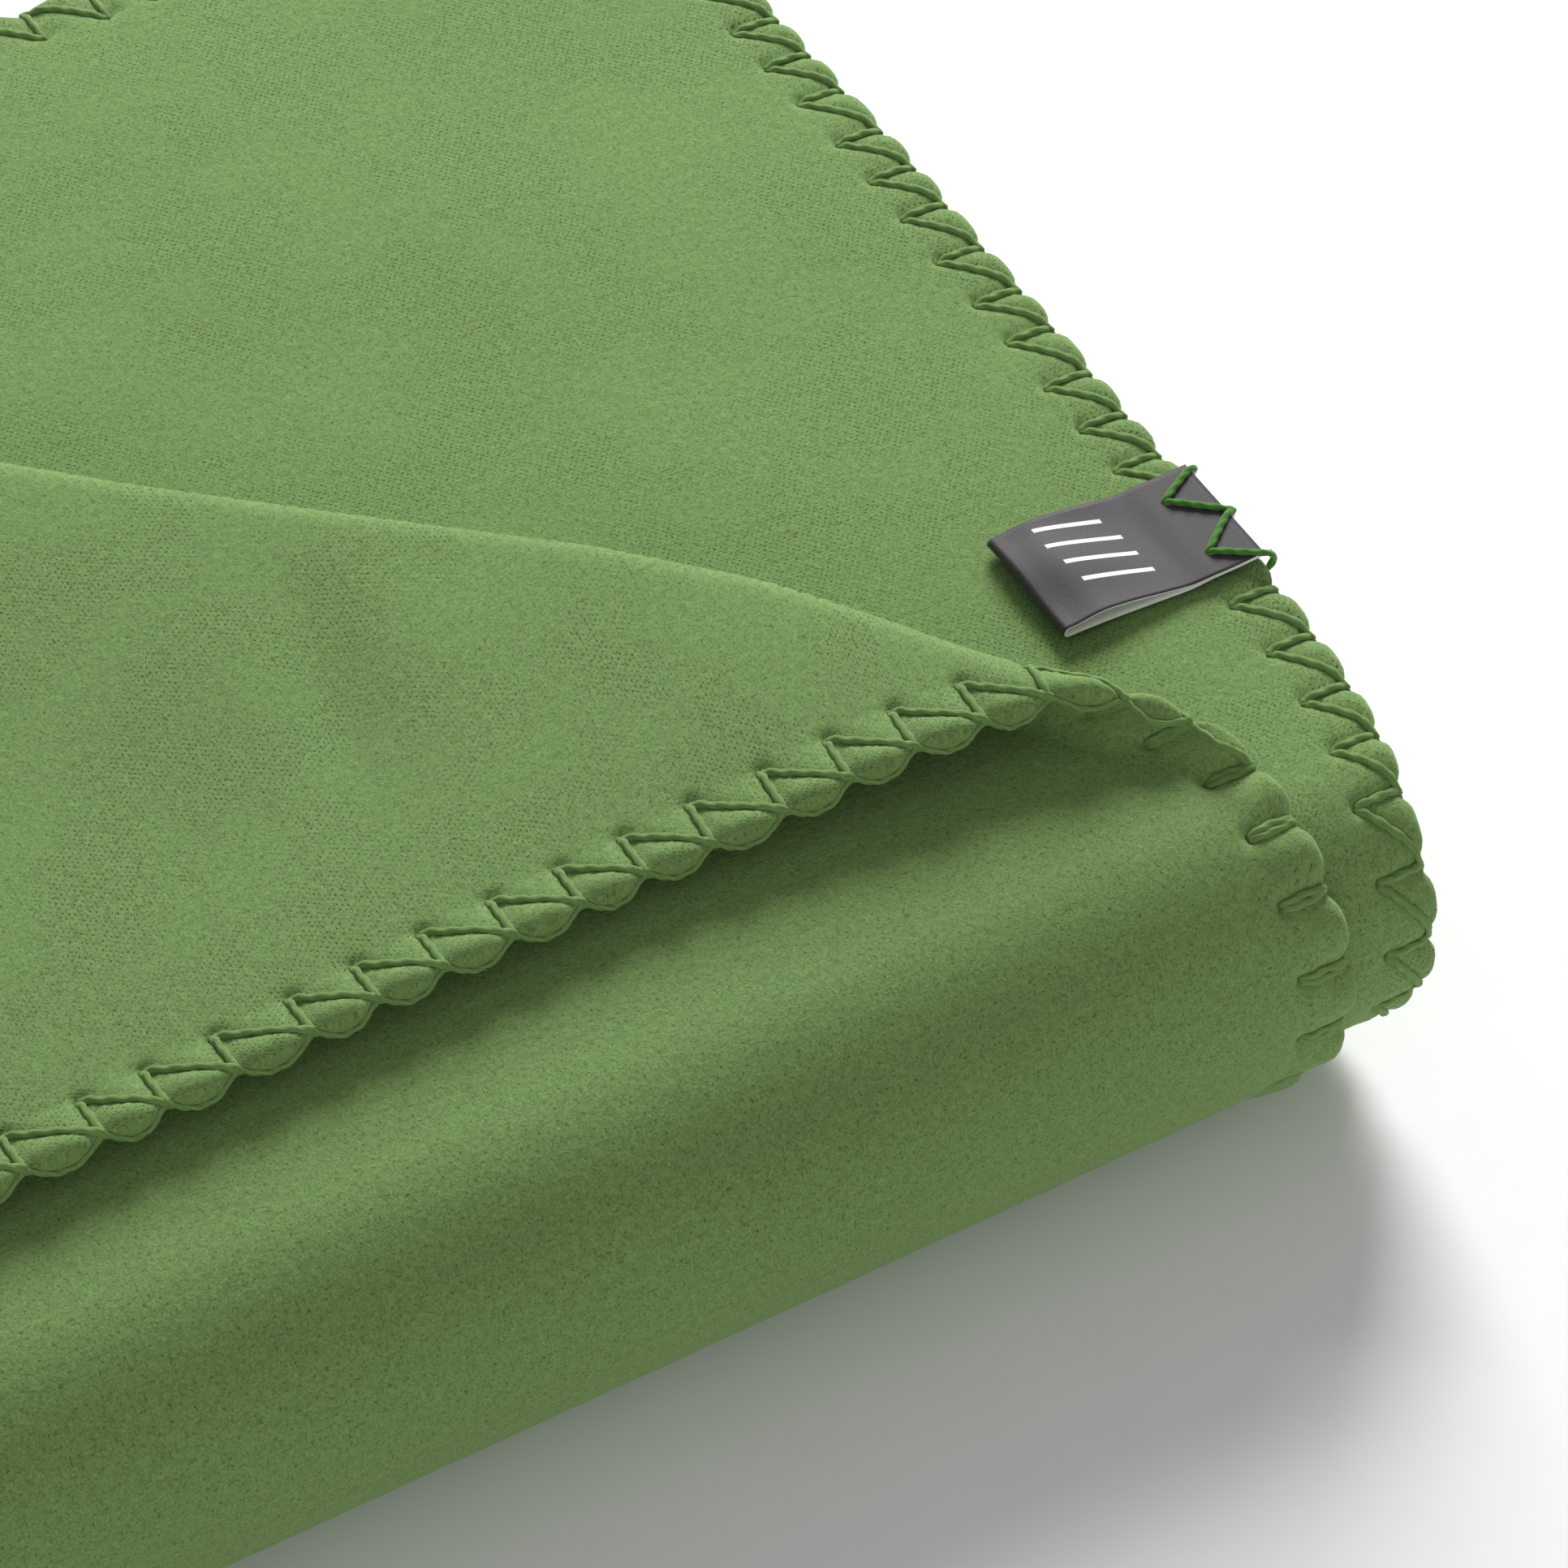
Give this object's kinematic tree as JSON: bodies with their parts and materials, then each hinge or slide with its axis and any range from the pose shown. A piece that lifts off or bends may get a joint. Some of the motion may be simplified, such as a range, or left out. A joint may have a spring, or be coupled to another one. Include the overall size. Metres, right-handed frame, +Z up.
{
  "type": "camp blanket",
  "caption": "Soft fleece throw folded into a flat stack, with overstitched hems, one corner turned back and a folded tape label at the hem.",
  "frame": {"origin": "middle of the folded footprint, on the surface it lies on", "axes": "+X along the front fold towards the hemmed end with the label, +Y away from the front fold, +Z up"},
  "size_m": [0.4, 0.325, 0.0664],
  "materials": {
    "fleece": "brushed polyester fleece, matt nap",
    "edging_yarn": "two-ply twisted acrylic yarn",
    "label_tape": "woven satin tape, dark outside and white inside"
  },
  "bodies": {
    "folded_blanket": {"outer_leaf": "fleece", "label_leaf": "fleece", "inner_pair_2_3": "fleece", "inner_pair_4_5": "fleece", "inner_leaf_6": "fleece", "inner_leaf_7": "fleece", "end_hem_outer_leaf": "edging_yarn", "end_hem_label_leaf": "edging_yarn", "end_hem_inner_leaf_6": "edging_yarn", "end_hem_inner_leaf_7": "edging_yarn", "back_hem_0": "edging_yarn", "back_hem_1": "edging_yarn", "back_hem_2": "edging_yarn", "back_hem_3": "edging_yarn", "back_hem_4": "edging_yarn", "back_hem_5": "edging_yarn", "back_hem_6": "edging_yarn", "back_hem_7": "edging_yarn", "label_tail": "label_tape", "label_stitch_front": "edging_yarn", "label_stitch_back": "edging_yarn"},
    "corner_flap": {"corner_flap": "fleece", "flap_hem_front": "edging_yarn", "flap_hem_side": "edging_yarn"},
    "label_loop": {"label_loop": "label_tape"}
  },
  "joints": [
    {"name": "corner_turn", "type": "hinge", "parent": "folded_blanket", "child": "corner_flap", "pos_m": [0.156, -0.1055, 0.062], "axis": [-0.7071, 0.7071, 0], "range_deg": [0, 120]},
    {"name": "label_flip", "type": "hinge", "parent": "folded_blanket", "child": "label_loop", "pos_m": [0.1875, -0.0745, 0.0569], "axis": [0, 1, 0], "range_deg": [0, 120]}
  ]
}
